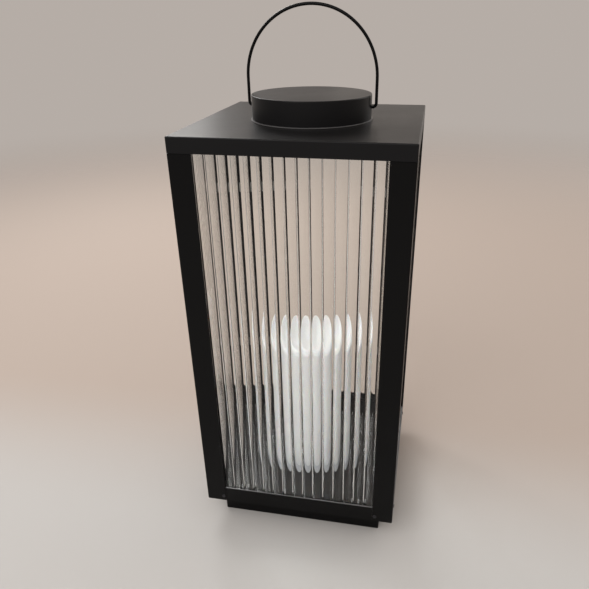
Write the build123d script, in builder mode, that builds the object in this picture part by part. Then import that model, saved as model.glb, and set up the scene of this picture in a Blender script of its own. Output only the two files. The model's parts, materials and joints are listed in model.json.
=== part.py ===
from build123d import *
from math import ceil
import os

# A square sheet-metal lantern with fluted clear sides, a fixed roof with a round cap and a wire bail,
# a hinged rear door and a battery pillar candle standing on its floor.
# Millimetres. The origin is on the ground under the middle, +Z is up and the front faces -Y.

os.makedirs("parts", exist_ok=True)

# Body
body_width = 185.0  # across the outside of the posts, the same both ways
roof_height = 380.7  # ground to the roof's top
sheet = 1.2  # sheet of the frame, roof, floor and plinth
bend_radius = 1.0  # outside of a bent edge
seam = 0.3  # open line between two sheets that butt together
plinth_height = 24.0
plinth_inset = 13.5  # how far the plinth stands in from the body
plinth_flange = 16.0  # turned-in top edge of the plinth
post_flange = 19.3  # visible width of a corner post
rear_flange = 8.0  # narrow back of a rear post, beside the door
band_height = 16.8  # lower band between the posts
skirt_height = 12.3  # turned-down edge of the roof
tray_wall = 7.8  # upturned edge of the floor tray, above its floor
bracket_drop = 14.0  # how far a corner bracket reaches below the roof's skirt

# Fluted panels
panel_thickness = 3.0
panel_overlap = 9.15  # hidden behind each post
panel_top_gap = 1.5  # under the roof
flute_pitch = 9.85
flute_depth = 1.35
ridge_land = 0.5  # blunt tip between two flutes
strip_reach = 13.3  # legs of a corner strip
strip_stub = 4.0  # short leg of a rear corner strip

# Cap and bail
cap_diameter = 100.0
cap_height = 20.2  # roof to the cap's top, ring included
cap_wall = 1.0
cap_edge = 0.8  # rounding of the cap's top edge
ring_lip = 1.0  # how far the ring shows round the cap's foot
ring_height = 1.0
ring_margin = 0.9  # ring metal on each side of a screw
collar_gap = 1.5  # between the ring's collar and the bail's hook
wire_diameter = 2.5
bail_gap = 2.55  # between the cap's side and the wire
bail_pivot_height = 10.3  # above the roof
bail_leg = 22.0  # pivot to where the arch begins
bail_bend = 3.0  # centre-line radius of the hooks
bail_hook = 5.0  # length of a hook's end inside the cap
bail_clearance = 0.05  # running fit of a hook in its hole

# Rear door
door_gap = 1.0
door_rail = 7.5  # height of the door frame's top and bottom
door_lip = 6.0  # depth of the door frame's turned-in edge
door_side_room = 4.5  # beside the door panel, for the knob's screw
door_panel_head = 4.6  # room above the door panel for the strike
clip_width = 10.0
clip_reach = 7.0
clip_thickness = 1.0
clip_inset = 72.0  # from the door's ends
leaf_thickness = 0.8
leaf_height = 30.0
leaf_margin = 1.3  # from a leaf's far edge to the corner of the post
knuckle_height = 9.4  # middle knuckle of a hinge
knuckle_gap = 0.3
barrel_radius = 2.0
barrel_lift = 0.4  # barrel above the outside of the sheet
pin_radius = 1.0
pin_clearance = 0.05
pin_head = 0.8
hinge_inset = 47.0  # from the door's ends to the hinges' middles
knob_length = 12.0
knob_radius = 5.5
knob_neck = 2.6
knob_collar = 3.4
strike_width = 20.0
strike_drop = 8.0
strike_stand = 1.0  # strike face inside the door's lip
strike_sheet = 1.0
magnet_depth = 8.0
magnet_gap = 0.3
magnet_inset = 12.3  # from the door's free edge

# Fasteners
rivet_radius = 1.0
rivet_head_radius = 1.8
rivet_head = 0.7
rivet_tail = 0.5
rivet_edge = 2.3  # from a post's inner edge
rivet_height = 5.5  # above the body's bottom edge
screw_radius = 1.5
screw_head_radius = 3.0
screw_head = 1.8
screw_clearance = 0.05
plinth_screw_inset = 21.5  # from the plinth's side
cap_screw_count = 3
screw_tail = 1.2  # thread beyond what a screw holds
small_screw_radius = 1.0
small_screw_head_radius = 1.9
small_screw_head = 1.0

# Candle
candle_diameter = 80.0
candle_height = 149.0
candle_base_height = 10.0
candle_base_inset = 0.5
base_wall = 3.0
base_plate = 3.0
base_foot = 2.0  # depth of the hollow under the base
base_foot_width = 1.6
wax_wall = 10.0
wax_rim = 7.0  # from the candle's side to its dish
wax_rim_edge = 1.2
wax_shoulder = 5.0
wax_dish = 6.0
wax_bore_room = 20.0  # above the core
slip = 0.1  # easy fit between fixed pieces
core_wall = 1.5
core_room = 2.6  # above the light
core_ledge = 2.0
core_window = 6.0
battery_radius = 7.25
battery_length = 49.0
battery_nipple_radius = 2.75
battery_nipple = 1.5
battery_spacing = 16.0
contact_thickness = 0.5
contact_width = 8.0
board_thickness = 1.6
led_radius = 2.5
led_length = 8.6
led_flange = 0.4
led_flange_height = 1.0
hatch_room = 1.75  # battery hatch round the batteries
cover_margin = 5.0
cover_thickness = 1.2
cover_recess = 1.3
cover_tail = 1.5
switch_length = 13.0
switch_width = 5.6
switch_height = 4.4
slider_length = 3.0
slider_width = 2.2
slider_flange = 1.0  # flange on each end of the slider
slider_flange_side = 0.7
slider_flange_height = 1.0
slider_reach = 1.3  # slider's knob below the base plate
slider_travel = 3.0
slider_clearance = 0.2
slider_lift = 0.1

# Places worked out from the sizes
half = body_width / 2
inner = half - sheet  # inside of the posts and the roof's skirt
opening = body_width - 2 * post_flange
skirt_bottom = roof_height - skirt_height
roof_under = roof_height - sheet
floor_top = plinth_height + sheet
tray_top = floor_top + tray_wall
plinth_half = half - plinth_inset
panel_top = roof_under - panel_top_gap
panel_back = inner - panel_thickness
flute_count = 2 * ceil(opening / flute_pitch / 2 - 0.5) + 1  # covers the opening, one on its middle line
flute_radius = ((flute_pitch - ridge_land) ** 2 / 4 + flute_depth**2) / (2 * flute_depth)
corners = {"front_left": (-1, -1), "front_right": (1, -1), "rear_left": (-1, 1), "rear_right": (1, 1)}

door_half = half - rear_flange - door_gap
rear_band_height = band_height - door_rail  # the window starts level with the other bands
door_bottom = plinth_height + rear_band_height + door_gap
door_top = skirt_bottom - door_gap
door_height = door_top - door_bottom
door_middle = (door_bottom + door_top) / 2
door_inside = half - door_lip
magnet_x = door_half - sheet - magnet_inset - strike_width / 2
hinge_x = -half + rear_flange + door_gap / 2
hinge_y = half + barrel_radius + barrel_lift
door_panel_half = door_half - sheet - door_side_room
knob_x = door_half - sheet - door_side_room / 2

cap_radius = cap_diameter / 2
cap_foot = roof_height + ring_height
ring_outer = cap_radius + ring_lip
ring_collar = cap_radius - cap_wall - slip
cap_screw_circle = ring_collar - cap_wall - ring_margin - screw_radius
ring_inner = cap_screw_circle - screw_radius - ring_margin
bail_half = cap_radius + bail_gap + wire_diameter / 2
bail_pivot = roof_height + bail_pivot_height
collar_top = bail_pivot - wire_diameter / 2 - collar_gap

candle_radius = candle_diameter / 2
candle_top = floor_top + candle_height
base_top = floor_top + candle_base_height
base_under = floor_top + base_foot
base_floor = base_under + base_plate
bore_radius = candle_radius - wax_wall
core_radius = bore_radius - slip
core_inner = core_radius - core_wall
battery_foot = base_under + cover_thickness + contact_thickness
battery_top = battery_foot + battery_length + battery_nipple
board_under = battery_top + contact_thickness
board_top = board_under + board_thickness
core_top = board_top + led_length + core_room + core_wall
core_height = core_top - base_floor
bore_top = core_top + wax_bore_room

bottom = (Align.CENTER, Align.CENTER, Align.MIN)
hanging = (Align.CENTER, Align.CENTER, Align.MAX)


def keep(piece, name):
    piece.label = name
    export_step(piece, f"parts/{name}.step")


def angle_outline(side_x, side_y, corner, leg_x, leg_y, wall):
    # An L whose corner is at (corner, corner) in the quarter given by the two signs
    Polyline(
        (side_x * corner, side_y * corner),
        (side_x * (corner - leg_x), side_y * corner),
        (side_x * (corner - leg_x), side_y * (corner - wall)),
        (side_x * (corner - wall), side_y * (corner - wall)),
        (side_x * (corner - wall), side_y * (corner - leg_y)),
        (side_x * corner, side_y * (corner - leg_y)),
        close=True,
    )


def headed_pin(shank_radius, shank_length, head_radius, head_height):
    # Shank below the ground plane, domed head above it
    with BuildPart() as pin:
        Cylinder(shank_radius, shank_length, align=hanging)
        Cylinder(head_radius, head_height, align=bottom)
        fillet(pin.edges().group_by(Axis.Z)[-1], head_height * 0.6)
    return pin.part


def group_at(piece, places):
    with BuildPart() as group:
        with Locations(*places):
            add(piece)
    return group.part


def fluted_panel(turn, width, face, low, high):
    # Flat outside, hollow flutes inside between plain margins; face is how far out the flat side stands
    with BuildPart() as panel:
        with BuildSketch(Plane.XY.offset(low).rotated((0, 0, turn))):
            with Locations((0, panel_thickness / 2 - face)):
                Rectangle(width, panel_thickness)
            with Locations((0, panel_thickness - flute_depth + flute_radius - face)):
                with GridLocations(flute_pitch, flute_pitch, flute_count, 1):
                    Circle(flute_radius, mode=Mode.SUBTRACT)
        extrude(amount=high - low)
    return panel.part


# Places of the rivets that hold each post to the floor tray, as planes facing outwards
rivet_z = plinth_height + rivet_height
post_rivets = {}
for name, (side_x, side_y) in corners.items():
    across = half - (rear_flange / 2 if side_y > 0 else post_flange - rivet_edge)
    along = half - post_flange + rivet_edge
    post_rivets[name] = [
        Plane((side_x * across, side_y * half, rivet_z), z_dir=(0, side_y, 0)),
        Plane((side_x * half, side_y * along, rivet_z), z_dir=(side_x, 0, 0)),
    ]
all_post_rivets = [place for places in post_rivets.values() for place in places]

# Places of the hinges' rivets, two on each leaf
hinge_heights = [door_bottom + hinge_inset, door_top - hinge_inset]
leaf_start = barrel_radius + barrel_lift  # from the hinge's axis to a leaf's near edge
leaf_width = rear_flange + door_gap / 2 - leaf_margin
leaf_middle = (leaf_start + leaf_width) / 2
leaf_face = half + leaf_thickness
leaf_rivet_rise = leaf_height / 3
leaf_rivets = {
    side: [
        Plane((hinge_x + side * leaf_middle, leaf_face, z + rise), z_dir=(0, 1, 0))
        for z in hinge_heights
        for rise in (-leaf_rivet_rise, leaf_rivet_rise)
    ]
    for side in (-1, 1)
}

# Screws that hold the plinth to the floor tray
plinth_screw_x = plinth_half - plinth_screw_inset
plinth_screw_y = plinth_half - plinth_flange / 2
plinth_screws = [
    Plane((x, y, floor_top), z_dir=(0, 0, 1))
    for x in (-plinth_screw_x, plinth_screw_x)
    for y in (-plinth_screw_y, plinth_screw_y)
]

# Plinth: a closed-bottomed box with a turned-in top edge
with BuildPart() as plinth:
    Box(2 * plinth_half, 2 * plinth_half, plinth_height, align=bottom)
    fillet(plinth.edges().filter_by(Axis.Z), bend_radius)
    with Locations((0, 0, sheet)):
        hollow = 2 * (plinth_half - sheet)
        Box(hollow, hollow, plinth_height - 2 * sheet, align=bottom, mode=Mode.SUBTRACT)
        window = 2 * (plinth_half - plinth_flange)
        Box(window, window, plinth_height, align=bottom, mode=Mode.SUBTRACT)
    with Locations(*plinth_screws):
        Hole(screw_radius + screw_clearance, depth=4 * sheet)
plinth.part.label = "plinth"
export_step(plinth.part, "parts/plinth.step")

# Floor tray: stands on the plinth, inside the posts and bands, and carries the panels on its walls
with BuildPart() as floor_tray:
    with Locations((0, 0, plinth_height)):
        Box(2 * inner, 2 * inner, sheet + tray_wall, align=bottom)
    with Locations((0, 0, floor_top)):
        Box(2 * (inner - sheet), 2 * (inner - sheet), tray_wall, align=bottom, mode=Mode.SUBTRACT)
    with Locations(*plinth_screws):
        Hole(screw_radius + screw_clearance, depth=2 * sheet)
    with Locations(*all_post_rivets):
        Hole(rivet_radius + screw_clearance, depth=3 * sheet)
floor_tray.part.label = "floor_tray"
export_step(floor_tray.part, "parts/floor_tray.step")

plinth_screw_length = 2 * sheet + screw_tail
plinth_screw = headed_pin(screw_radius, plinth_screw_length, screw_head_radius, screw_head)
keep(group_at(plinth_screw, plinth_screws), "plinth_screws")

# Corner posts: bent angles, the rear ones with a narrow back beside the door
for name, (side_x, side_y) in corners.items():
    back_leg = rear_flange if side_y > 0 else post_flange
    with BuildPart() as post:
        with BuildSketch(Plane.XY.offset(plinth_height)):
            with BuildLine():
                angle_outline(side_x, side_y, half, back_leg, post_flange, sheet)
            make_face()
        extrude(amount=skirt_bottom - seam - plinth_height)
        outer_corner = (side_x * half, side_y * half, roof_height / 2)
        bend = post.edges().filter_by(Axis.Z).sort_by_distance(outer_corner)[0]
        fillet(bend, bend_radius)
        with Locations(*post_rivets[name]):
            Hole(rivet_radius + screw_clearance, depth=2 * sheet)
        if name == "rear_left":
            with Locations(*leaf_rivets[-1]):
                Hole(rivet_radius + screw_clearance, depth=2 * sheet + leaf_thickness)
    post.part.label = f"post_{name}"
    export_step(post.part, f"parts/post_{name}.step")

post_rivet = headed_pin(rivet_radius, 2 * sheet + rivet_tail, rivet_head_radius, rivet_head)
keep(group_at(post_rivet, all_post_rivets), "post_rivets")

# Lower bands between the posts, on the outside of the floor tray
band_turns = {"front": 0, "right": 90, "rear": 180, "left": -90}
for name, turn in band_turns.items():
    flange = rear_flange if name == "rear" else post_flange
    with BuildPart() as band:
        with BuildSketch(Plane.XY.offset(plinth_height).rotated((0, 0, turn))):
            with Locations((0, -half + sheet / 2)):
                Rectangle(body_width - 2 * flange - 2 * seam, sheet)
        extrude(amount=rear_band_height if name == "rear" else band_height)
    band.part.label = f"band_{name}"
    export_step(band.part, f"parts/band_{name}.step")

# Roof lid: flat plate with a turned-down skirt
first_cap_screw = Vector(0, cap_screw_circle, roof_under)
cap_screw_places = [
    Plane(first_cap_screw.rotate(Axis.Z, k * 360 / cap_screw_count), z_dir=(0, 0, -1))
    for k in range(cap_screw_count)
]
with BuildPart() as roof_lid:
    with Locations((0, 0, skirt_bottom)):
        Box(body_width, body_width, skirt_height, align=bottom)
        fillet(roof_lid.edges().filter_by(Axis.Z), bend_radius)
        fillet(roof_lid.edges().group_by(Axis.Z)[-1], bend_radius)
        Box(2 * inner, 2 * inner, skirt_height - sheet, align=bottom, mode=Mode.SUBTRACT)
    with Locations(*cap_screw_places):
        Hole(screw_radius + screw_clearance, depth=2 * sheet)
roof_lid.part.label = "roof_lid"
export_step(roof_lid.part, "parts/roof_lid.step")

# Corner brackets tie the lid's skirt to the posts from inside
bracket_leg = rear_flange - sheet - door_gap
bracket_bottom = skirt_bottom - bracket_drop
with BuildPart() as corner_brackets:
    with BuildSketch(Plane.XY.offset(bracket_bottom)):
        for side_x, side_y in corners.values():
            with BuildLine():
                angle_outline(side_x, side_y, inner, bracket_leg, bracket_leg, sheet)
            make_face()
    extrude(amount=roof_under - bracket_bottom)
corner_brackets.part.label = "corner_brackets"
export_step(corner_brackets.part, "parts/corner_brackets.step")

# Fixed panels, standing on the floor tray's walls behind the posts
panel_width = opening + 2 * panel_overlap
for name, turn in {"front": 0, "right": 90, "left": -90}.items():
    keep(fluted_panel(turn, panel_width, inner, tray_top, panel_top), f"panel_{name}")

# Corner strips hold the panels against the posts
for name, (side_x, side_y) in corners.items():
    short_leg = strip_stub if side_y > 0 else strip_reach
    with BuildPart() as strip:
        with BuildSketch(Plane.XY.offset(floor_top)):
            with BuildLine():
                angle_outline(side_x, side_y, panel_back, short_leg, strip_reach, sheet)
            make_face()
        extrude(amount=panel_top - floor_top)
    strip.part.label = f"strip_{name}"
    export_step(strip.part, f"parts/strip_{name}.step")

# Cap ring: flat ring on the roof with a collar for the cap
with BuildPart() as cap_ring:
    with BuildSketch(Plane.XZ):
        with BuildLine():
            Polyline(
                (ring_inner, roof_height),
                (ring_outer, roof_height),
                (ring_outer, cap_foot),
                (ring_collar, cap_foot),
                (ring_collar, collar_top),
                (ring_collar - cap_wall, collar_top),
                (ring_collar - cap_wall, cap_foot),
                (ring_inner, cap_foot),
                close=True,
            )
        make_face()
    revolve(axis=Axis.Z)
    with Locations(*cap_screw_places):
        Hole(screw_radius + screw_clearance, depth=4 * ring_height)
cap_ring.part.label = "cap_ring"
export_step(cap_ring.part, "parts/cap_ring.step")

cap_screw_length = sheet + ring_height + screw_tail
cap_screw = headed_pin(screw_radius, cap_screw_length, screw_head_radius, screw_head)
keep(group_at(cap_screw, cap_screw_places), "cap_screws")

# Cap: plain closed cup over the ring's collar, with a hole on each side for the bail
bail_holes = [Plane((side * cap_radius, 0, bail_pivot), z_dir=(side, 0, 0)) for side in (-1, 1)]
with BuildPart() as cap:
    with Locations((0, 0, cap_foot)):
        Cylinder(cap_radius, cap_height - ring_height, align=bottom)
        fillet(cap.edges().group_by(Axis.Z)[-1], cap_edge)
        depth = cap_height - ring_height - cap_wall
        Cylinder(cap_radius - cap_wall, depth, align=bottom, mode=Mode.SUBTRACT)
    with Locations(*bail_holes):
        Hole(wire_diameter / 2 + bail_clearance, depth=4 * cap_wall)
cap.part.label = "cap"
export_step(cap.part, "parts/cap.step")

# Bail: one wire, hooked into the cap at both ends, with straight legs and a half-round arch
hook_end = cap_radius - cap_wall - bail_hook
spring_line = bail_pivot + bail_leg
with BuildPart() as bail:
    with BuildLine(Plane.XZ) as bail_path:
        FilletPolyline(
            (-hook_end, bail_pivot),
            (-bail_half, bail_pivot),
            (-bail_half, spring_line),
            radius=bail_bend,
        )
        ThreePointArc((-bail_half, spring_line), (0, spring_line + bail_half), (bail_half, spring_line))
        FilletPolyline(
            (bail_half, spring_line),
            (bail_half, bail_pivot),
            (hook_end, bail_pivot),
            radius=bail_bend,
        )
    with BuildSketch(Plane((-hook_end, 0, bail_pivot), z_dir=(-1, 0, 0))):
        Circle(wire_diameter / 2)
    sweep()
bail.part.label = "bail"
export_step(bail.part, "parts/bail.step")

# Door frame: a shallow tray with a window, open towards the inside
window_height = door_height - 2 * door_rail
with BuildPart() as door_frame:
    with Locations((0, half - door_lip / 2, door_middle)):
        Box(2 * door_half, door_lip, door_height)
    fillet(door_frame.edges().group_by(Axis.Y)[-1], bend_radius)
    with Locations((0, half - sheet - door_lip / 2, door_middle)):
        Box(2 * (door_half - sheet), door_lip, door_height - 2 * sheet, mode=Mode.SUBTRACT)
    with Locations((0, half, door_middle)):
        Box(opening, door_lip, window_height, mode=Mode.SUBTRACT)
    with Locations(*leaf_rivets[1]):
        Hole(rivet_radius + screw_clearance, depth=2 * sheet + leaf_thickness)
    with Locations(Plane((knob_x, half, door_middle), z_dir=(0, 1, 0))):
        Hole(small_screw_radius + screw_clearance, depth=2 * sheet)
door_frame.part.label = "door_frame"
export_step(door_frame.part, "parts/door_frame.step")

# Door panel stands on the frame's lower lip
door_panel_low = door_bottom + sheet
door_panel_high = door_top - sheet - door_panel_head
keep(
    fluted_panel(180, 2 * door_panel_half, inner, door_panel_low, door_panel_high),
    "door_panel",
)

# Clips at the door's sides hold its panel
clip_places = [
    (side * (door_half - sheet - clip_reach / 2), panel_back - clip_thickness / 2, z)
    for side in (-1, 1)
    for z in (door_bottom + clip_inset, door_top - clip_inset)
]
with BuildPart() as door_clips:
    with Locations(*clip_places):
        Box(clip_reach, clip_thickness, clip_width)
door_clips.part.label = "door_clips"
export_step(door_clips.part, "parts/door_clips.step")

# Hinges: the post's leaf has the outer knuckles, the door's leaf the middle one
outer_knuckle = (leaf_height - knuckle_height) / 2 - knuckle_gap
outer_rise = (leaf_height - outer_knuckle) / 2
knuckles = {-1: [(-outer_rise, outer_knuckle), (outer_rise, outer_knuckle)], 1: [(0, knuckle_height)]}
for level, height in zip(("lower", "upper"), hinge_heights):
    for owner, side in (("post", -1), ("door", 1)):
        with BuildPart() as leaf:
            with Locations((hinge_x + side * leaf_middle, half + leaf_thickness / 2, height)):
                Box(leaf_width - leaf_start, leaf_thickness, leaf_height)
            for rise, tall in knuckles[side]:
                with Locations((hinge_x + side * leaf_start / 2, half + leaf_thickness / 2, height + rise)):
                    Box(leaf_start, leaf_thickness, tall)
                with Locations((hinge_x, hinge_y, height + rise)):
                    Cylinder(barrel_radius, tall)
            with Locations((hinge_x, hinge_y, height)):
                Cylinder(pin_radius + pin_clearance, leaf_height, mode=Mode.SUBTRACT)
            with Locations(*leaf_rivets[side]):
                Hole(rivet_radius + screw_clearance, depth=2 * leaf_thickness)
        leaf.part.label = f"hinge_{level}_{owner}_leaf"
        export_step(leaf.part, f"parts/hinge_{level}_{owner}_leaf.step")
    with BuildPart() as hinge_pin:
        with Locations((hinge_x, hinge_y, height + leaf_height / 2)):
            add(headed_pin(pin_radius, leaf_height + pin_head, barrel_radius, pin_head))
    hinge_pin.part.label = f"hinge_{level}_pin"
    export_step(hinge_pin.part, f"parts/hinge_{level}_pin.step")

leaf_rivet = headed_pin(rivet_radius, leaf_thickness + sheet, rivet_head_radius, rivet_head)
keep(group_at(leaf_rivet, leaf_rivets[-1]), "hinge_rivets_post")
keep(group_at(leaf_rivet, leaf_rivets[1]), "hinge_rivets_door")

# Knob on the door's free side, drawn tight by a screw from inside
knob_plane = Plane((knob_x, half, door_middle), x_dir=(1, 0, 0), z_dir=(0, 1, 0))
knob_head = knob_length / 2
knob_flange = knob_length / 8
with BuildPart() as door_knob:
    with BuildSketch(Plane(knob_plane.origin, x_dir=(1, 0, 0), z_dir=(0, 0, 1))):
        with BuildLine():
            Polyline(
                (0, 0),
                (knob_collar, 0),
                (knob_collar, knob_flange),
                (knob_neck, knob_flange),
                (knob_neck, knob_head),
                (knob_radius, knob_head),
                (knob_radius, knob_length),
                (0, knob_length),
                close=True,
            )
        make_face()
    revolve(axis=Axis(knob_plane.origin, (0, 1, 0)))
    fillet(door_knob.edges().group_by(Axis.Y)[-1], knob_flange)
    with Locations(Plane(knob_plane.origin, z_dir=(0, -1, 0))):
        Hole(small_screw_radius + screw_clearance, depth=knob_length / 2)
door_knob.part.label = "door_knob"
export_step(door_knob.part, "parts/door_knob.step")

knob_screw_place = Plane((knob_x, inner, door_middle), z_dir=(0, -1, 0))
knob_screw = headed_pin(
    small_screw_radius, sheet + knob_length / 2 - rivet_tail, small_screw_head_radius, small_screw_head
)
keep(group_at(knob_screw, [knob_screw_place]), "knob_screw")

# Strike plate under the door's top lip, and the magnet that it meets under the roof
strike_face = door_inside - strike_stand
lip_under = door_top - sheet
with BuildPart() as strike_plate:
    with BuildSketch(Plane.YZ.offset(magnet_x)):
        with BuildLine():
            Polyline(
                (inner, lip_under),
                (strike_face, lip_under),
                (strike_face, lip_under - strike_drop),
                (strike_face + strike_sheet, lip_under - strike_drop),
                (strike_face + strike_sheet, lip_under - strike_sheet),
                (inner, lip_under - strike_sheet),
                close=True,
            )
        make_face()
    extrude(amount=strike_width / 2, both=True)
strike_plate.part.label = "strike_plate"
export_step(strike_plate.part, "parts/strike_plate.step")

with BuildPart() as door_magnet:
    with Locations((magnet_x, strike_face - magnet_gap - magnet_depth / 2, roof_under)):
        Box(strike_width, magnet_depth, roof_under - lip_under + strike_drop, align=hanging)
door_magnet.part.label = "door_magnet"
export_step(door_magnet.part, "parts/door_magnet.step")

# Candle base: a cup with a battery hatch and a switch slot in its sunk underside
hatch_length = battery_spacing + 2 * battery_radius + 2 * hatch_room
hatch_width = 2 * battery_radius + 2 * hatch_room
cover_length = hatch_length + 2 * cover_margin
cover_width = hatch_width + 2 * cover_margin
cover_corner = cover_margin / 2
slot_length = slider_length + slider_travel + 2 * slider_clearance
slot_width = slider_width + 2 * slider_clearance
cover_screw_x = (hatch_length + cover_margin) / 2
switch_offset = (cover_width / 2 + core_inner) / 2  # midway from the cover to the core
with BuildPart() as candle_base:
    base_radius = candle_radius - candle_base_inset
    with Locations((0, 0, floor_top)):
        Cylinder(base_radius, candle_base_height, align=bottom)
        Cylinder(base_radius - base_foot_width, base_foot, align=bottom, mode=Mode.SUBTRACT)
    with Locations((0, 0, base_floor)):
        Cylinder(base_radius - base_wall, base_top - base_floor, align=bottom, mode=Mode.SUBTRACT)
    with BuildSketch(Plane.XY.offset(base_under)):
        RectangleRounded(cover_length + 2 * slip, cover_width + 2 * slip, cover_corner)
    extrude(amount=cover_recess, mode=Mode.SUBTRACT)
    with BuildSketch(Plane.XY.offset(base_under)):
        Rectangle(hatch_length, hatch_width)
        with Locations((cover_screw_x, 0)):
            Circle(small_screw_radius + screw_clearance)
        with Locations((0, -switch_offset)):
            Rectangle(slot_length, slot_width)
    extrude(amount=base_plate, mode=Mode.SUBTRACT)
candle_base.part.label = "candle_base"
export_step(candle_base.part, "parts/candle_base.step")

# Battery cover in its recess, with one screw
with BuildPart() as battery_cover:
    with BuildSketch(Plane.XY.offset(base_under)):
        RectangleRounded(cover_length, cover_width, cover_corner)
        with Locations((cover_screw_x, 0)):
            Circle(small_screw_radius + screw_clearance, mode=Mode.SUBTRACT)
    extrude(amount=cover_thickness)
battery_cover.part.label = "battery_cover"
export_step(battery_cover.part, "parts/battery_cover.step")

cover_screw = headed_pin(
    small_screw_radius, base_plate + cover_tail, small_screw_head_radius, small_screw_head
)
cover_screw_place = Plane((cover_screw_x, 0, base_under), z_dir=(0, 0, -1))
keep(group_at(cover_screw, [cover_screw_place]), "cover_screw")

# Bridge contact on the cover, batteries on it, contacts above them
battery_places = {"left": -battery_spacing / 2, "right": battery_spacing / 2}
with BuildPart() as bridge_contact:
    with Locations((0, 0, base_under + cover_thickness)):
        Box(battery_spacing + contact_width, contact_width, contact_thickness, align=bottom)
bridge_contact.part.label = "bridge_contact"
export_step(bridge_contact.part, "parts/bridge_contact.step")

for name, x in battery_places.items():
    with BuildPart() as battery:
        with Locations((x, 0, battery_foot)):
            Cylinder(battery_radius, battery_length, align=bottom)
            fillet(battery.edges().filter_by(GeomType.CIRCLE), contact_thickness)
        with Locations((x, 0, battery_foot + battery_length)):
            Cylinder(battery_nipple_radius, battery_nipple, align=bottom)
    battery.part.label = f"battery_{name}"
    export_step(battery.part, f"parts/battery_{name}.step")

with BuildPart() as upper_contacts:
    with Locations(*[(x, 0, battery_top) for x in battery_places.values()]):
        Box(contact_width, contact_width, contact_thickness, align=bottom)
upper_contacts.part.label = "upper_contacts"
export_step(upper_contacts.part, "parts/upper_contacts.step")

# Core: a closed-topped tube on the base, with a ledge for the circuit board and a window for the light
with BuildPart() as candle_core:
    with Locations((0, 0, base_floor)):
        Cylinder(core_radius, core_height, align=bottom)
        Cylinder(core_inner, core_height - core_wall, align=bottom, mode=Mode.SUBTRACT)
        Cylinder(core_window, core_height, align=bottom, mode=Mode.SUBTRACT)
    with Locations((0, 0, board_under)):
        Cylinder(core_inner, core_ledge, align=hanging)
        Cylinder(core_inner - core_ledge, core_ledge, align=hanging, mode=Mode.SUBTRACT)
candle_core.part.label = "candle_core"
export_step(candle_core.part, "parts/candle_core.step")

with BuildPart() as circuit_board:
    with Locations((0, 0, board_under)):
        Cylinder(core_inner - slip, board_thickness, align=bottom)
circuit_board.part.label = "circuit_board"
export_step(circuit_board.part, "parts/circuit_board.step")

with BuildPart() as led:
    with Locations((0, 0, board_top)):
        Cylinder(led_radius, led_length, align=bottom)
        fillet(led.edges().group_by(Axis.Z)[-1], led_radius * 0.9)
        Cylinder(led_radius + led_flange, led_flange_height, align=bottom)
led.part.label = "led"
export_step(led.part, "parts/led.step")

# Wax shell: dished top with a rounded rim, bored from below
rim_inner = candle_radius - wax_rim
with BuildPart() as candle_wax:
    with BuildSketch(Plane.XZ):
        with BuildLine():
            Polyline(
                (0, candle_top - wax_dish),
                (0, bore_top),
                (bore_radius, bore_top),
                (bore_radius, base_top),
                (candle_radius, base_top),
                (candle_radius, candle_top),
                (rim_inner, candle_top),
            )
            TangentArc((0, candle_top - wax_dish), (rim_inner, candle_top), tangent=(1, 0))
        make_face()
    revolve(axis=Axis.Z)
    for order, rounding in ((0, wax_rim_edge), (-1, wax_shoulder)):
        top_circles = candle_wax.edges().filter_by(GeomType.CIRCLE).group_by(Axis.Z)[-1]
        fillet(top_circles.sort_by(SortBy.RADIUS)[order], rounding)
candle_wax.part.label = "candle_wax"
export_step(candle_wax.part, "parts/candle_wax.step")

# Slide switch: body on the base's floor, slider hanging through the slot
flange_length = slider_length + 2 * slider_flange
flange_width = slider_width + 2 * slider_flange_side
cavity_height = slider_flange_height + slider_lift + slider_clearance
with BuildPart() as switch_body:
    with Locations((0, -switch_offset, base_floor)):
        Box(switch_length, switch_width, switch_height, align=bottom)
        Box(
            flange_length + slider_travel + 2 * slider_clearance,
            flange_width + 2 * slider_clearance,
            cavity_height,
            align=bottom,
            mode=Mode.SUBTRACT,
        )
switch_body.part.label = "switch_body"
export_step(switch_body.part, "parts/switch_body.step")

with BuildPart() as switch_slider:
    with Locations((-slider_travel / 2, -switch_offset, base_floor + slider_lift)):
        Box(flange_length, flange_width, slider_flange_height, align=bottom)
        Box(slider_length, slider_width, base_plate + slider_lift + slider_reach, align=hanging)
switch_slider.part.label = "switch_slider"
export_step(switch_slider.part, "parts/switch_slider.step")
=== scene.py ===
import json
import math

import bmesh
import bpy
from mathutils import Matrix, Vector

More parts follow.
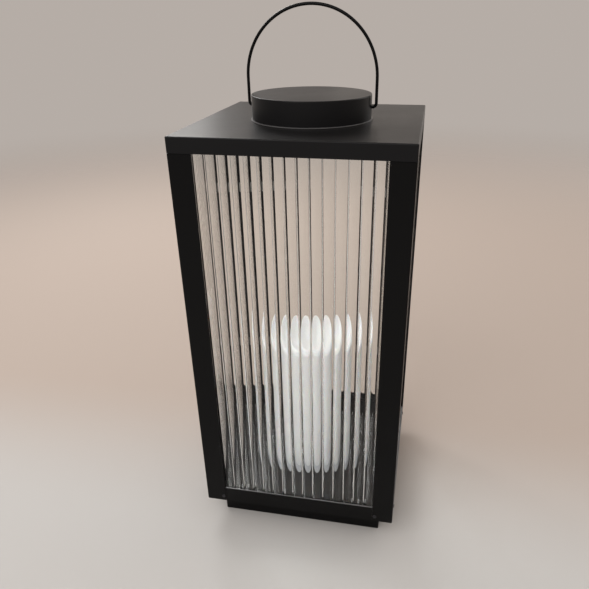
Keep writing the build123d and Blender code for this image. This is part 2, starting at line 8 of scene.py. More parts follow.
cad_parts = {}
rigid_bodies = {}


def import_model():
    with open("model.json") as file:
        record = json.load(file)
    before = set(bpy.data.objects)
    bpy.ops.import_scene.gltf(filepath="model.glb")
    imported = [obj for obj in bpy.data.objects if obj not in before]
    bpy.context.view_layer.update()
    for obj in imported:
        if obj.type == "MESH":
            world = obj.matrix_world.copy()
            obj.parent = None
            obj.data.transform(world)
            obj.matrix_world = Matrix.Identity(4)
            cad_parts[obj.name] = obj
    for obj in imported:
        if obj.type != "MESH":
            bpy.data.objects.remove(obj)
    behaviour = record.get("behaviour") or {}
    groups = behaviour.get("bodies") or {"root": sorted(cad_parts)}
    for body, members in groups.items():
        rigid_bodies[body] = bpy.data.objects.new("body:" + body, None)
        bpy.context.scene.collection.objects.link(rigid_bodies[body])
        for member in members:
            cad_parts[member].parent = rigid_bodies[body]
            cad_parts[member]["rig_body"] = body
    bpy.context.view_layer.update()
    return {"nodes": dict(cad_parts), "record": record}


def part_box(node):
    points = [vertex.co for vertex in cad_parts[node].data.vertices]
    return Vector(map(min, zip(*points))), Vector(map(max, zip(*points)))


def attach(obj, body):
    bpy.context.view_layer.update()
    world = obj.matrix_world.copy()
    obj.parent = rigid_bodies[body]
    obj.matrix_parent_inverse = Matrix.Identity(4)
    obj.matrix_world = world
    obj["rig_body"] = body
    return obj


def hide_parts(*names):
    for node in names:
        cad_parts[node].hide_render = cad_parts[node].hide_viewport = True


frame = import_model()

slotOf = {part["node"]: part["material_slot"] for part in frame["record"]["subparts"]}
mergeDistance = 1e-6  # metres, points closer than this are one


class Wire:  # an output of a node, which can stand in a sum
    def __init__(self, bench, socket):
        self.bench = bench
        self.socket = socket

    def out(self, name):  # another output of the same node
        return Wire(self.bench, self.socket.node.outputs[name])

    def __add__(self, other):
        return self.bench.maths("ADD", self, other)

    def __radd__(self, other):
        return self.bench.maths("ADD", other, self)

    def __sub__(self, other):
        return self.bench.maths("SUBTRACT", self, other)

    def __rsub__(self, other):
        return self.bench.maths("SUBTRACT", other, self)

    def __mul__(self, other):
        return self.bench.maths("MULTIPLY", self, other)

    def __rmul__(self, other):
        return self.bench.maths("MULTIPLY", other, self)

    def __truediv__(self, other):
        return self.bench.maths("DIVIDE", self, other)

    def __rtruediv__(self, other):
        return self.bench.maths("DIVIDE", other, self)

    def __pow__(self, other):
        return self.bench.maths("POWER", self, other)

    def __lt__(self, other):
        return self.bench.maths("LESS_THAN", self, other)


class Bench:  # adds nodes to one tree, a material's or a geometry tree
    def __init__(self, tree):
        self.tree = tree

    def add(self, kind, settings=None, sockets=None, out=0):
        node = self.tree.nodes.new(kind)
        for name, value in (settings or {}).items():
            if name == "stops":
                self.setStops(node.color_ramp.elements, value)
            else:
                setattr(node, name, value)
        for name, value in (sockets or {}).items():
            for item in value if isinstance(value, list) else [value]:
                if isinstance(item, Wire):
                    self.tree.links.new(item.socket, node.inputs[name])
                else:
                    node.inputs[name].default_value = item
        return Wire(self, node.outputs[out]) if node.outputs else node

    def setStops(self, elements, stops):
        while len(elements) < len(stops):
            elements.new(1)
        for element, (place, grey) in zip(elements, stops):
            element.position = place
            element.color = (grey, grey, grey, 1)

    def maths(self, operation, *terms):
        return self.add("ShaderNodeMath", {"operation": operation}, dict(enumerate(terms)))

    def tint(self, share, first, second):  # a mix of two colours, on the node's colour sockets
        return self.add("ShaderNodeMix", {"data_type": "RGBA"}, {0: share, 6: first, 7: second}, out=2)

    def noise(self, place, scale, detail=2.0, roughness=0.5):
        sockets = {"Vector": place, "Scale": scale, "Detail": detail, "Roughness": roughness}
        return self.add("ShaderNodeTexNoise", None, sockets)

    def ramp(self, value, stops):
        return self.add("ShaderNodeValToRGB", {"stops": stops}, {0: value})

    def part(self, vector, axis):
        return self.add("ShaderNodeSeparateXYZ", None, {"Vector": vector}, out=axis)

    def stretch(self, vector, scale):
        return self.add("ShaderNodeMapping", None, {"Vector": vector, "Scale": scale})

    def bump(self, height, strength, distance):
        sockets = {"Height": height, "Strength": strength, "Distance": distance}
        return self.add("ShaderNodeBump", None, sockets)

    def close(self, shader):
        self.add("ShaderNodeOutputMaterial", None, {"Surface": shader})


def newFinish(name):
    material = bpy.data.materials.new(name)
    material.use_nodes = True
    material.node_tree.nodes.clear()
    bench = Bench(material.node_tree)
    return material, bench, bench.add("ShaderNodeTexCoord", out="Object")


# Finishes

powderLook = {
    "colour": (0.0024, 0.0024, 0.0026, 1),
    "dustColour": (0.016, 0.015, 0.013, 1),
    # painted highlight: the light colour of a line along lit top edges
    "highlightColour": (0.20, 0.20, 0.205, 1),
    "wornAbove": None,  # height from which a light line is painted on the coat, a painted highlight
    "highlightShare": 0.6,
    "highlightStops": [(0.30, 0.35), (0.62, 1)],  # how patchy the painted highlight is
    "cloud": {"scale": 16, "detail": 5, "roughness": 0.6},
    "fleck": {"scale": 260, "detail": 3, "roughness": 0.7},
    "fleckStops": [(0.60, 0), (0.72, 1)],
    "dust": 1.0,
    "levelStops": [(0.55, 0), (0.95, 1)],  # how level a face is for dust to settle
    "settledFilm": 0.25,
    "settledFlecks": 0.35,
    "strayFlecks": 0.06,  # on any face
    "specular": 0.12,
    "roughness": 0.26,
    "handled": 0.10,  # extra roughness where it is rubbed
    "dusty": 0.10,  # and where dust lies
    "peel": {"scale": 620, "detail": 1.5},  # orange peel
    "peelStrength": 0.35,
    "peelHeight": 0.00006,
}


def powderCoat(name, **changes):
    look = {**powderLook, **changes}
    material, bench, place = newFinish(name)
    peel = bench.noise(place, **look["peel"])
    cloud = bench.noise(place, **look["cloud"])
    speck = bench.ramp(bench.noise(place, **look["fleck"]), look["fleckStops"])
    facing = bench.add("ShaderNodeNewGeometry", out="Normal")
    level = bench.ramp(bench.part(facing, "Z"), look["levelStops"])
    settled = level * (look["settledFilm"] * cloud + look["settledFlecks"] * speck)
    dust = look["dust"] * (settled + look["strayFlecks"] * speck)
    colour = bench.tint(dust, look["colour"], look["dustColour"])
    # painted highlight: above the given height the coat is lightened in patches, standing in for light
    # caught by an edge
    if look["wornAbove"] is not None:
        above = 1 - (bench.part(place, "Z") < look["wornAbove"])
        highlitLine = above * bench.ramp(cloud, look["highlightStops"])
        colour = bench.tint(look["highlightShare"] * highlitLine, colour, look["highlightColour"])
    shader = bench.add("ShaderNodeBsdfPrincipled", None, {
        "Base Color": colour,
        "Roughness": look["roughness"] + look["handled"] * cloud + look["dusty"] * dust,
        "Specular IOR Level": look["specular"],
        "Normal": bench.bump(peel, look["peelStrength"], look["peelHeight"]),
    })
    bench.close(shader)
    return material


glassLook = {
    "colour": (0.965, 0.975, 0.97, 1),
    "lampColour": (0.955, 0.96, 0.958, 1),  # what a lamp's ray keeps on its way through
    "sheen": (0.25, 0.25, 0.26, 1),  # share of the plain reflection that its faces give
    "ior": 1.5,
    "roughness": 0.004,
    "film": {"scale": 30, "detail": 4, "roughness": 0.6},
    "filmRoughness": 0.012,
    "ripple": {"scale": 420, "detail": 2, "roughness": 0.55},
    "rippleStretch": (1, 1, 0.35),  # drawn out up and down
    "rippleStrength": 0.25,
    "rippleHeight": 0.000006,
}


def flutedGlass():
    look = glassLook
    material, bench, place = newFinish("flutedGlass")
    ripple = bench.noise(bench.stretch(place, look["rippleStretch"]), **look["ripple"])
    film = bench.noise(place, **look["film"])
    clear = bench.add("ShaderNodeBsdfPrincipled", None, {
        "Base Color": look["colour"],
        "Roughness": look["roughness"] + look["filmRoughness"] * film,
        "IOR": look["ior"],
        "Specular Tint": look["sheen"],
        "Transmission Weight": 1.0,
        "Normal": bench.bump(ripple, look["rippleStrength"], look["rippleHeight"]),
    })
    passing = bench.add("ShaderNodeBsdfTransparent", None, {"Color": look["lampColour"]})
    lampRay = bench.add("ShaderNodeLightPath", out="Is Shadow Ray")
    bench.close(bench.add("ShaderNodeMixShader", None, {0: lampRay, 1: clear, 2: passing}))
    return material


waxLook = {
    "colour": (0.88, 0.873, 0.868, 1),
    "deepColour": (0.86, 0.853, 0.847, 1),
    "cloud": {"scale": 45, "detail": 5, "roughness": 0.6},
    "cloudStops": [(0.35, 0), (0.7, 1)],
    "glow": (0.010, 0.007, 0.005),  # how far light travels in the wax, red, green and blue
    "glowShare": 0.35,
    "specular": 0.35,
    "roughness": 0.42,
    "skin": {"scale": 180, "detail": 3, "roughness": 0.5},
    "skinRoughness": 0.15,
    "skinStrength": 0.25,
    "skinHeight": 0.00015,
}


def candleWax():
    look = waxLook
    material, bench, place = newFinish("ivoryWax")
    cloud = bench.ramp(bench.noise(place, **look["cloud"]), look["cloudStops"])
    skin = bench.noise(place, **look["skin"])
    shader = bench.add("ShaderNodeBsdfPrincipled", None, {
        "Base Color": bench.tint(cloud, look["colour"], look["deepColour"]),
        "Roughness": look["roughness"] + look["skinRoughness"] * skin,
        "Subsurface Weight": look["glowShare"],
        "Subsurface Radius": look["glow"],
        "Subsurface Scale": 1.0,
        "Specular IOR Level": look["specular"],
        "Normal": bench.bump(skin, look["skinStrength"], look["skinHeight"]),
    })
    bench.close(shader)
    return material


plasticLook = {
    "cloud": {"scale": 25, "detail": 4, "roughness": 0.6},
    "cloudShade": 0.85,
    "cloudRoughness": 0.12,
    "grainDetail": 2,
    "grainStrength": 0.3,
    "grainHeight": 0.00005,
}


def mouldedPlastic(name, colour, grainScale, roughness):
    look = plasticLook
    material, bench, place = newFinish(name)
    grain = bench.noise(place, grainScale, look["grainDetail"])
    cloud = bench.noise(place, **look["cloud"])
    darker = tuple(look["cloudShade"] * part for part in colour) + (1,)
    shader = bench.add("ShaderNodeBsdfPrincipled", None, {
        "Base Color": bench.tint(cloud, colour + (1,), darker),
        "Roughness": roughness + look["cloudRoughness"] * cloud,
        "Normal": bench.bump(grain, look["grainStrength"], look["grainHeight"]),
    })
    bench.close(shader)
    return material


metalLook = {
    "scratchStretch": (1, 0.12, 1),  # drawn out from front to back
    "scratch": {"detail": 3, "roughness": 0.65},
    "scratchRoughness": 0.08,
    "scratchStrength": 0.2,
    "scratchHeight": 0.00003,
    "tarnish": {"scale": 70, "detail": 5, "roughness": 0.65},
    "tarnishStops": [(0.42, 0), (0.75, 1)],
    "tarnishShare": 0.5,
    "tarnishShade": 0.55,
    "tarnishDulls": 0.25,  # how much less metallic it is there
    "tarnishRoughness": 0.22,
}


def barMetal(name, colour, roughness, scratchScale):
    look = metalLook
    material, bench, place = newFinish(name)
    drawn = bench.stretch(place, look["scratchStretch"])
    scratch = bench.noise(drawn, scratchScale, **look["scratch"])
    tarnish = bench.ramp(bench.noise(place, **look["tarnish"]), look["tarnishStops"])
    dull = tuple(look["tarnishShade"] * part for part in colour) + (1,)
    worn = look["tarnishRoughness"] * tarnish
    shader = bench.add("ShaderNodeBsdfPrincipled", None, {
        "Base Color": bench.tint(look["tarnishShare"] * tarnish, colour + (1,), dull),
        "Metallic": 1 - look["tarnishDulls"] * tarnish,
        "Roughness": roughness + worn + look["scratchRoughness"] * scratch,
        "Normal": bench.bump(scratch, look["scratchStrength"], look["scratchHeight"]),
    })
    bench.close(shader)
    return material


sleeveLook = {
    "colour": (0.035, 0.04, 0.05, 1),
    "bandColour": (0.30, 0.20, 0.09, 1),
    "bandRange": 10,  # the band's stops are in tenths of a metre
    "bandStops": [(0.655, 0), (0.66, 1)],
    "bandMetal": 0.5,
    "roughness": 0.25,
    "cloud": {"scale": 90, "detail": 4, "roughness": 0.6},
    "cloudRoughness": 0.15,
}


def batterySleeve():
    look = sleeveLook
    material, bench, place = newFinish("batterySleeve")
    band = bench.ramp(bench.part(place, "Z") * look["bandRange"], look["bandStops"])
    cloud = bench.noise(place, **look["cloud"])
    shader = bench.add("ShaderNodeBsdfPrincipled", None, {
        "Base Color": bench.tint(band, look["colour"], look["bandColour"]),
        "Metallic": look["bandMetal"] * band,
        "Roughness": look["roughness"] + look["cloudRoughness"] * cloud,
    })
    bench.close(shader)
    return material


boardLook = {
    "colour": (0.02, 0.13, 0.05, 1),
    "paleColour": (0.03, 0.18, 0.08, 1),
    "cloud": {"scale": 60, "detail": 3},
    "roughness": 0.32,
    "cloudRoughness": 0.1,
    "weave": {"Scale": 180, "Distortion": 0.6},
    "weaveStrength": 0.15,
    "weaveHeight": 0.00003,
}


def solderMask():
    look = boardLook
    material, bench, place = newFinish("solderMask")
    weave = bench.add("ShaderNodeTexWave", None, {"Vector": place, **look["weave"]}, out="Fac")
    cloud = bench.noise(place, **look["cloud"])
    shader = bench.add("ShaderNodeBsdfPrincipled", None, {
        "Base Color": bench.tint(cloud, look["colour"], look["paleColour"]),
        "Roughness": look["roughness"] + look["cloudRoughness"] * cloud,
        "Normal": bench.bump(weave, look["weaveStrength"], look["weaveHeight"]),
    })
    bench.close(shader)
    return material


lensLook = {
    "colour": (0.95, 0.80, 0.50, 1),
    "deepColour": (0.90, 0.72, 0.40, 1),
    "cloud": {"scale": 300, "detail": 2},
    "roughness": 0.10,
    "cloudRoughness": 0.1,
    "clearness": 0.6,
    "ior": 1.53,
}


def warmLens():
    look = lensLook
    material, bench, place = newFinish("warmLens")
    cloud = bench.noise(place, **look["cloud"])
    shader = bench.add("ShaderNodeBsdfPrincipled", None, {
        "Base Color": bench.tint(cloud, look["colour"], look["deepColour"]),
        "Roughness": look["roughness"] + look["cloudRoughness"] * cloud,
        "Transmission Weight": look["clearness"],
        "IOR": look["ior"],
    })
    bench.close(shader)
    return material


finishes = {  # one for each material slot of the record
    "black_paint": powderCoat("satinBlackPowder"),
    "fluted_glass": flutedGlass(),
    "wax": candleWax(),
    "candle_plastic": mouldedPlastic("candlePlastic", (0.68, 0.685, 0.715), grainScale=900, roughness=0.38),
    "dark_plastic": mouldedPlastic("darkPlastic", (0.030, 0.030, 0.032), grainScale=1100, roughness=0.40),
    "plated_steel": barMetal("zincPlate", (0.62, 0.62, 0.60), roughness=0.28, scratchScale=900),
    "brass": barMetal("brassStrip", (0.72, 0.53, 0.24), roughness=0.30, scratchScale=800),
    "battery_sleeve": batterySleeve(),
    "board": solderMask(),
    "led_lens": warmLens(),
}

ownLook = {  # nodes whose finish isn't quite their slot's
    "bands": ["band_front", "band_left", "band_right"],
    "bandEdge": 0.0003,  # a light line is painted this far down from a band's top, a painted highlight
    "ringEdge": 0.0006,  # and a light line on the ring from this far below the cap's foot, also a painted highlight
    "ring": {"highlightShare": 0.6, "specular": 0.4},
    "lid": ["roof_lid", "cap"],
    "litLidColour": (0.0078, 0.0078, 0.0084, 1),  # a little paler than the posts: painted light, a lit copy of the posts' powder that brightens the lid and cap
    "tray": {
        "colour": (0.0055, 0.0043, 0.0035, 1), "dust": 0.4,
        "specular": 0.4, "roughness": 0.08, "handled": 0.03,
    },
    "fixings": {"plinth_screws": (0.45, 0.45, 0.46), "post_rivets": (0.05, 0.05, 0.055)},
    "fixing": {"roughness": 0.20, "scratchScale": 700},
}


def ownFinishes():
    look = ownLook
    # painted highlight: a light line along the top edge of each band
    bandHighlightPowder = powderCoat("bandHighlightPowder", wornAbove=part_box("band_front")[1].z - look["bandEdge"])
    # painted light: the lid and cap get a paler copy of the posts' powder
    litLidPowder = powderCoat("litLidPowder", colour=look["litLidColour"])
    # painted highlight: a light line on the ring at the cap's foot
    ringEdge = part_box("cap")[0].z - look["ringEdge"]
    own = {
        "cap_ring": powderCoat("ringHighlightPowder", wornAbove=ringEdge, **look["ring"]),
        "floor_tray": powderCoat("trayPowder", **look["tray"]),
    }
    for node in look["bands"]:
        own[node] = bandHighlightPowder
    for node in look["lid"]:
        own[node] = litLidPowder
    for node, colour in look["fixings"].items():
        own[node] = barMetal("metal_" + node, colour, **look["fixing"])
    return own


finishOf = {node: finishes[slot] for node, slot in slotOf.items()}
finishOf.update(ownFinishes())
print("finishes:", len(set(finishOf.values())))


# Pieces grown by geometry nodes

def newTree(name, inputs):
    tree = bpy.data.node_groups.new(name, "GeometryNodeTree")
    tree.interface.new_socket("Geometry", in_out="INPUT", socket_type="NodeSocketGeometry")
    for label, kind in inputs.items():
        tree.interface.new_socket(label, in_out="INPUT", socket_type="NodeSocket" + kind)
    tree.interface.new_socket("Geometry", in_out="OUTPUT", socket_type="NodeSocketGeometry")
    return tree, Bench(tree)


def finishTree(bench, geometry, material):
    whole = bench.add("GeometryNodeRealizeInstances", None, {"Geometry": geometry})
    painted = bench.add("GeometryNodeSetMaterial", None, {"Geometry": whole, "Material": material})
    bench.add("NodeGroupOutput", None, {"Geometry": painted})


def growPiece(name, tree, values, seedMesh, sharpAngle):
    piece = bpy.data.objects.new(name, seedMesh)
    bpy.context.scene.collection.objects.link(piece)
    modifier = piece.modifiers.new("grow", "NODES")
    modifier.node_group = tree
    for item in tree.interface.items_tree:
        if item.in_out == "INPUT" and item.name in values:
            modifier[item.identifier] = values[item.name]
    graph = bpy.context.evaluated_depsgraph_get()
    grown = bpy.data.meshes.new_from_object(piece.evaluated_get(graph))
    piece.modifiers.remove(modifier)
    piece.data = grown
    grown.name = name
    faces = bmesh.new()
    faces.from_mesh(grown)
    bmesh.ops.remove_doubles(faces, verts=faces.verts, dist=mergeDistance)
    bmesh.ops.recalc_face_normals(faces, faces=faces.faces)
    faces.to_mesh(grown)
    faces.free()
    grown.shade_smooth()
    grown.set_sharp_from_angle(angle=math.radians(sharpAngle))
    return piece


def settle(piece, node):  # a finished piece takes its solid's place and body
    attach(piece, frame["nodes"][node]["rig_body"])
    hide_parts(node)


# Fluted panels

panelLook = {
    "pitch": 0.00985,
    "flutes": 15,  # between the plain margins
    "curve": 0.0103,  # radius at the bottom of a flute
    "long": 0.007,  # half length of the ellipse that a flute is cut with
    "ridge": 0.0004,  # half width of the steep ridge between two flutes
    "tip": 0.00006,  # half width of its rounded tip
    "flank": 1.05,  # how steep the ridge's sides are
    "stepsPerFlute": 36,
    "crowding": 0.85,  # how much closer the steps are at a ridge
    "closest": 2e-6,  # steps closer than this are one
    "sharpAngle": 40,  # degrees
    "turns": {"panel_front": 0, "panel_right": 90, "panel_left": -90, "door_panel": 180},
}


def flutedTree():
    shape = ["Pitch", "Curve", "Long", "Ridge", "Tip", "Flank", "Reach", "Crowding", "Closest"]
    labels = shape + ["Width", "Front", "Back", "Low", "High", "Turn"]
    kinds = {label: "Float" for label in labels}
    tree, bench = newTree("flutedPanel", {**kinds, "Points": "Int", "Finish": "Material"})
    given = bench.add("NodeGroupInput")
    size = {label: given.out(label) for label in labels}
    pitch = size["Pitch"]
    ridge = size["Ridge"]
    half = size["Width"] / 2
    count = given.out("Points")
    index = bench.add("GeometryNodeInputIndex")

    def rise(offset):  # of the glass above the bottom of a flute
        share = 1 - bench.maths("SQRT", 1 - (offset / size["Long"]) ** 2)
        return size["Long"] ** 2 / size["Curve"] * share

    # Steps across the fluted side, closest together at the ridges
    flute = 2 * size["Reach"] / pitch * index / (count - 1)
    wave = bench.maths("SINE", flute * (2 * math.pi)) / (2 * math.pi)
    steps = flute - size["Crowding"] * wave
    across = steps * pitch - size["Reach"]

    # Elliptical flutes, parted by steep ridges with a rounded tip
    fromRidge = bench.maths("ABSOLUTE", steps - bench.maths("ROUND", steps)) * pitch
    onTip = fromRidge < size["Tip"]
    onRidge = fromRidge < ridge
    tip = size["Flank"] * fromRidge ** 2 / (2 * size["Tip"])
    flank = size["Flank"] * (fromRidge - size["Tip"] / 2)
    foot = size["Flank"] * (ridge - size["Tip"] / 2)
    dip = foot + rise(pitch / 2 - ridge) - rise(pitch / 2 - fromRidge)
    inside = onTip * tip + (onRidge - onTip) * flank + (1 - onRidge) * dip + size["Back"]

    # The four corners of the sheet come last
    isFlute = index < count
    isRight = index < count + 2
    isFlat = (index < count + 3) * (1 - (index < count + 1))
    corner = size["Back"] + isFlat * (size["Front"] - size["Back"])
    x = isFlute * across + (1 - isFlute) * (isRight * 2 - 1) * half
    y = 0 - isFlute * inside - (1 - isFlute) * corner

    ring = bench.add("GeometryNodeMeshCircle", None, {"Vertices": count + 4, "Radius": 1.0})
    spot = bench.add("ShaderNodeCombineXYZ", None, {"X": x, "Y": y})
    drawn = bench.add("GeometryNodeSetPosition", None, {"Geometry": ring, "Position": spot})
    joined = bench.add("GeometryNodeMergeByDistance", None, {
        "Geometry": drawn, "Distance": size["Closest"],
    })
    outline = bench.add("GeometryNodeMeshToCurve", None, {"Mesh": joined})
    face = bench.add("GeometryNodeFillCurve", {"mode": "NGONS"}, {"Curve": outline})
    tall = bench.add("ShaderNodeCombineXYZ", None, {"Z": size["High"] - size["Low"]})
    body = bench.add("GeometryNodeExtrudeMesh", None, {"Mesh": face, "Offset": tall, "Individual": False})
    solid = bench.add("GeometryNodeJoinGeometry", None, {"Geometry": [body, face]})
    placed = bench.add("GeometryNodeTransform", None, {
        "Geometry": solid,
        "Translation": bench.add("ShaderNodeCombineXYZ", None, {"Z": size["Low"]}),
        "Rotation": bench.add("ShaderNodeCombineXYZ", None, {"Z": size["Turn"]}),
    })
    finishTree(bench, placed, given.out("Finish"))
    return tree


def flutedPanels():
    look = panelLook
    tree = flutedTree()
    shape = ["pitch", "curve", "long", "ridge", "tip", "flank", "crowding", "closest"]
    for node, degrees in look["turns"].items():
        unturn = Matrix.Rotation(-math.radians(degrees), 3, "Z")
        ends = [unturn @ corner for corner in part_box(node)]
        left, right = sorted(end.x for end in ends)
        outer, inner = sorted(end.y for end in ends)
        low, high = sorted(end.z for end in ends)
        values = {
            **{label.capitalize(): look[label] for label in shape},
            "Reach": look["flutes"] * look["pitch"] / 2,
            "Points": look["flutes"] * look["stepsPerFlute"] + 1,
            "Width": right - left, "Front": -outer, "Back": -inner, "Low": low, "High": high,
            "Turn": math.radians(degrees),
            "Finish": finishOf[node],
        }
        name = "fluted_" + node
        piece = growPiece(name, tree, values, bpy.data.meshes.new(name + "_seed"), look["sharpAngle"])
        settle(piece, node)
        print(" ", name, len(piece.data.vertices), "vertices")


flutedPanels()
print("fluted panels done")


# Rivets and cross-head screws

fastenerLook = {
    "sides": 28,
    "rings": 7,  # from a head's rim to its top
    "fullness": 2.6,  # 2 is a round dome, more is flatter with fuller shoulders
    "armLength": 1.15,  # cross recess, in head radii
    "armWidth": 0.26,
    "recessDepth": 0.55,  # in head heights
    "seed": 11,
    "sharpAngle": 35,  # degrees
    "rivets": {  # head height, shank radius and the way the heads face
        "post_rivets": (0.0007, 0.0010, "outwards"),
        "hinge_rivets_post": (0.0007, 0.0010, "back"),
        "hinge_rivets_door": (0.0007, 0.0010, "back"),
    },
    "screws": {
        "plinth_screws": (0.0018, 0.0015, "up"),
        "cap_screws": (0.0018, 0.0015, "down"),
        "knob_screw": (0.0010, 0.0010, "ahead"),
        "cover_screw": (0.0010, 0.0010, "down"),
    },
    "ways": {"up": (0, 0, 1), "down": (0, 0, -1), "back": (0, 1, 0), "ahead": (0, -1, 0)},
    "placeDigits": 5,  # of a place in metres, enough to put fasteners in order
}


def fastenerTree(name, crossed):
    look = fastenerLook
    labels = ["Head Radius", "Head Height", "Shank Radius", "Shank Length"]
    tree, bench = newTree(name, {**{label: "Float" for label in labels}, "Finish": "Material"})
    given = bench.add("NodeGroupInput")
    radius, height, shankRadius, shankLength = (given.out(label) for label in labels)

    # Dome lathed from a flat grid, from its top to its rim and back under it to the middle
    grid = bench.add("GeometryNodeMeshGrid", None, {
        "Size X": 1.0, "Size Y": 1.0, "Vertices X": look["sides"] + 1, "Vertices Y": 2 * look["rings"] + 1,
    })
    place = bench.add("ShaderNodeSeparateXYZ", None, {"Vector": bench.add("GeometryNodeInputPosition")})
    around = place.out("X") * (2 * math.pi)
    along = place.out("Y") * 2 + 1
    onTop = bench.maths("MINIMUM", along, 1) * (math.pi / 2)
    reach = bench.maths("SINE", onTop) ** (2 / look["fullness"]) - bench.maths("MAXIMUM", along - 1, 0)
    rise = bench.maths("MAXIMUM", bench.maths("COSINE", onTop), 0) ** (2 / look["fullness"])
    spot = bench.add("ShaderNodeCombineXYZ", None, {
        "X": radius * reach * bench.maths("COSINE", around),
        "Y": radius * reach * bench.maths("SINE", around),
        "Z": height * rise,
    })
    lathed = bench.add("GeometryNodeSetPosition", None, {"Geometry": grid, "Position": spot})
    head = bench.add("GeometryNodeMergeByDistance", None, {"Geometry": lathed, "Distance": mergeDistance})

    # Shank, sunk halfway into the head
    shankTop = height / 2
    rod = bench.add("GeometryNodeMeshCylinder", None, {
        "Vertices": look["sides"], "Radius": shankRadius, "Depth": shankLength + shankTop,
    })
    drop = bench.add("ShaderNodeCombineXYZ", None, {"Z": (shankTop - shankLength) / 2})
    shank = bench.add("GeometryNodeTransform", None, {"Geometry": rod, "Translation": drop})
    pin = bench.add("GeometryNodeMeshBoolean", {"operation": "UNION"}, {"Mesh 2": [head, shank]})

    if crossed:
        size = bench.add("ShaderNodeCombineXYZ", None, {
            "X": radius * look["armLength"],
            "Y": radius * look["armWidth"],
            "Z": height * (2 * look["recessDepth"]),
        })
        arm = bench.add("GeometryNodeMeshCube", None, {"Size": size})
        lift = bench.add("ShaderNodeCombineXYZ", None, {"Z": height})
        arms = []
        for quarter in (0, math.pi / 2):
            arms.append(bench.add("GeometryNodeTransform", None, {
                "Geometry": arm, "Translation": lift, "Rotation": (0, 0, quarter),
            }))
        pin = bench.add("GeometryNodeMeshBoolean", {"operation": "DIFFERENCE"}, {
            "Mesh 1": pin, "Mesh 2": arms,
        })

    # One on each seat, turned as it came to rest
    facing = bench.add("GeometryNodeInputNamedAttribute", {"data_type": "FLOAT_VECTOR"}, {"Name": "facing"})
    stand = bench.add("FunctionNodeAlignRotationToVector", {"axis": "Z"}, {"Vector": facing})
    seated = bench.add("GeometryNodeInstanceOnPoints", None, {
        "Points": given.out("Geometry"), "Instance": pin, "Rotation": stand,
    })
    wound = bench.add("FunctionNodeRandomValue", {"data_type": "FLOAT"}, {
        2: 0.0, 3: 2 * math.pi, "Seed": look["seed"],  # 2 and 3 are its least and its most
    }, out=1)
    twist = bench.add("ShaderNodeCombineXYZ", None, {"Z": wound})
    turned = bench.add("GeometryNodeRotateInstances", None, {
        "Instances": seated, "Rotation": twist, "Local Space": True,
    })
    finishTree(bench, turned, given.out("Finish"))
    return tree


def solidBoxes(node):  # lowest and highest corner of each separate solid of a node
    shell = bmesh.new()
    shell.from_mesh(frame["nodes"][node].data)
    bmesh.ops.remove_doubles(shell, verts=shell.verts, dist=mergeDistance)
    waiting = set(shell.verts)
    boxes = []
    while waiting:
        reached = [waiting.pop()]
        for vertex in reached:
            for edge in vertex.link_edges:
                other = edge.other_vert(vertex)
                if other in waiting:
                    waiting.remove(other)
                    reached.append(other)
        low = Vector([min(vertex.co[axis] for vertex in reached) for axis in range(3)])
        high = Vector([max(vertex.co[axis] for vertex in reached) for axis in range(3)])
        boxes.append((low, high))
    shell.free()
    digits = fastenerLook["placeDigits"]
    return sorted(boxes, key=lambda box: tuple(round(value, digits) for value in box[0]))


def outwards(middle):  # square to the wall that a place is nearest to
    if abs(middle.x) > abs(middle.y):
        return Vector((math.copysign(1, middle.x), 0, 0))
    return Vector((0, math.copysign(1, middle.y), 0))


def seatMesh(node, headHeight, facing):  # with the radius and length that a node's fasteners share
    seats = []
    directions = []
    for low, high in solidBoxes(node):
        middle = (low + high) / 2
        way = outwards(middle) if facing == "outwards" else Vector(fastenerLook["ways"][facing])
        axis = max(range(3), key=lambda k: abs(way[k]))
        length = high[axis] - low[axis]
        radius = max(high[k] - low[k] for k in range(3) if k != axis) / 2
        seats.append(middle + way * (length / 2 - headHeight))
        directions.append(way)
    mesh = bpy.data.meshes.new(node + "_seats")
    mesh.from_pydata(seats, [], [])
    attribute = mesh.attributes.new("facing", "FLOAT_VECTOR", "POINT")
    for entry, way in zip(attribute.data, directions):
        entry.vector = way
    return mesh, radius, length


def fasteners():
    look = fastenerLook
    for kind, crossed in (("rivets", False), ("screws", True)):
        tree = fastenerTree(kind, crossed)
        for node, (headHeight, shankRadius, facing) in look[kind].items():
            seats, radius, length = seatMesh(node, headHeight, facing)
            values = {
                "Head Radius": radius, "Head Height": headHeight,
                "Shank Radius": shankRadius, "Shank Length": length - headHeight,
                "Finish": finishOf[node],
            }
            name = ("crossed_" if crossed else "domed_") + node
            piece = growPiece(name, tree, values, seats, look["sharpAngle"])
            settle(piece, node)
            print(" ", name, len(piece.data.polygons), "faces")


fasteners()
print("rivets and screws done")


# Carried-over solids

for name, node in frame["nodes"].items():
    node.data.materials.clear()
    node.data.materials.append(finishOf[name])
print("finishes given to the solids")


# Stage, light and camera

floorLook = {
    "frontColour": (0.50, 0.495, 0.485, 1),
    "backColour": (0.442, 0.38, 0.338, 1),
    "blendWidth": 0.25,  # over which it goes from its front colour to its back colour
    "roughness": 0.85,
    "specular": 0.1,
    "radius": 2.4,
    "fadeStart": 0.7,  # metres from the middle, where it starts to fade into the backdrop
    "segments": 96,
}


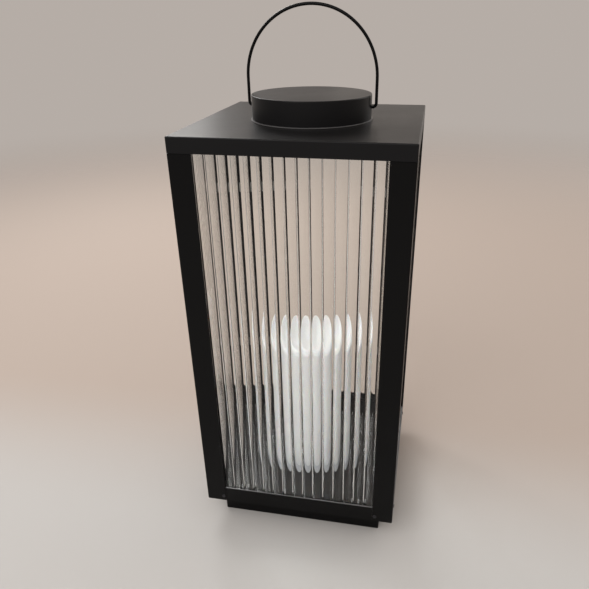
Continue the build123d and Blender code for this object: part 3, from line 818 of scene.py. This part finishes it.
def plainFloor():
    look = floorLook
    mesh = bpy.data.meshes.new("floor")
    faces = bmesh.new()
    bmesh.ops.create_circle(faces, cap_ends=True, segments=look["segments"], radius=look["radius"])
    faces.to_mesh(mesh)
    faces.free()
    floor = bpy.data.objects.new("floor", mesh)
    bpy.context.scene.collection.objects.link(floor)
    material, bench, place = newFinish("plainFloor")
    behind = bench.add("ShaderNodeMapRange", {"interpolation_type": "SMOOTHSTEP"}, {
        "Value": bench.part(place, "Y"),
        "From Min": -look["blendWidth"] / 2,
        "From Max": look["blendWidth"] / 2,
    })
    shader = bench.add("ShaderNodeBsdfPrincipled", None, {
        "Base Color": bench.tint(behind, look["frontColour"], look["backColour"]),
        "Roughness": look["roughness"],
        "Specular IOR Level": look["specular"],
    })
    away = bench.add("ShaderNodeVectorMath", {"operation": "LENGTH"}, {0: place}, out="Value")
    gone = bench.add("ShaderNodeMapRange", {"interpolation_type": "SMOOTHSTEP"}, {
        "Value": away, "From Min": look["fadeStart"], "From Max": look["radius"],
    })
    clear = bench.add("ShaderNodeBsdfTransparent")
    bench.close(bench.add("ShaderNodeMixShader", None, {0: gone, 1: shader, 2: clear}))
    mesh.materials.append(material)


worldLook = {
    "colour": (0.93, 0.835, 0.765, 1),
    "light": 0.74,  # what lights the object
    "shown": 0.50,  # what the camera, gloss and glass see
}


def studioWorld():
    look = worldLook
    world = bpy.data.worlds.new("studio")
    bpy.context.scene.world = world
    world.use_nodes = True
    world.node_tree.nodes.clear()
    bench = Bench(world.node_tree)
    path = bench.add("ShaderNodeLightPath")
    rays = path.out("Is Camera Ray") + path.out("Is Glossy Ray") + path.out("Is Transmission Ray")
    seen = bench.maths("MINIMUM", rays, 1)
    strength = look["light"] + (look["shown"] - look["light"]) * seen
    sky = bench.add("ShaderNodeBackground", None, {"Color": look["colour"], "Strength": strength})
    bench.add("ShaderNodeOutputWorld", None, {"Surface": sky})


lampLook = {
    "keyLamp": {
        "place": (-0.45, -1.3, 1.5), "aim": (0, 0, 0.15),
        "size": (1.6, 1.4), "power": 18, "colour": (1, 1, 1),
    },
    "backLamp": {
        "place": (1.0, 1.3, 1.1), "aim": (0, 0, 0.3),
        "size": (1.2, 1.2), "power": 5, "colour": (1, 1, 1),
    },
    "sheenLamp": {  # low, mirrored on the lid
        "place": (0.45, 2.0, 0.57), "aim": (0, 0, 0.38),
        "size": (1.6, 0.25), "power": 0.5, "colour": (1, 0.90, 0.78),
    },
    "roofLamp": {  # mirrored on the lid's left corner
        "place": (-1.02, 1.77, 0.73), "aim": (-0.08, 0, 0.38),
        "size": (0.5, 0.45), "power": 1.2, "colour": (1, 0.97, 0.93),
    },
    "skyLamp": {  # mirrored on the left of the floor tray
        "place": (-0.783, 0.938, 1.10), "aim": (-0.05, 0, 0.03),
        "size": (0.7, 0.36), "power": 8.6, "colour": (1, 1, 1),
    },
}


def studioLamps():
    for name, look in lampLook.items():
        data = bpy.data.lights.new(name, "AREA")
        data.shape = "RECTANGLE"
        data.size, data.size_y = look["size"]
        data.energy = look["power"]
        data.color = look["colour"]
        lamp = bpy.data.objects.new(name, data)
        bpy.context.scene.collection.objects.link(lamp)
        lamp.visible_camera = False
        lamp.location = look["place"]
        aim = Vector(look["aim"]) - Vector(look["place"])
        lamp.rotation_euler = aim.to_track_quat("-Z", "Y").to_euler()


cameraLook = {
    "place": (0.0994, -0.5031, 0.4625),
    "ahead": (-0.1697, 0.8725, -0.4582),
    "right": (0.9823, 0.1871, -0.0076),
    "sensor": 36,  # millimetres
    "focal": 584.3,  # pixels of a 589 pixel picture
    "picture": 589,
    "middle": (315.4, 310.7),  # pixel that the lens's axis meets
    "clipStart": 0.01,
}


def photoCamera():
    look = cameraLook
    data = bpy.data.cameras.new("camera")
    data.sensor_width = look["sensor"]
    data.lens = data.sensor_width * look["focal"] / look["picture"]
    data.shift_x = 0.5 - look["middle"][0] / look["picture"]
    data.shift_y = look["middle"][1] / look["picture"] - 0.5
    data.clip_start = look["clipStart"]
    view = bpy.data.objects.new("camera", data)
    bpy.context.scene.collection.objects.link(view)
    back = -Vector(look["ahead"]).normalized()
    right = Vector(look["right"])
    right = (right - right.dot(back) * back).normalized()  # made square to the way it looks
    turn = Matrix((right, back.cross(right), back)).transposed()
    view.matrix_world = Matrix.Translation(look["place"]) @ turn.to_4x4()
    bpy.context.scene.camera = view


plainFloor()
studioWorld()
studioLamps()
photoCamera()
bpy.context.scene.view_settings.view_transform = "Standard"
print("stage, light and camera done")
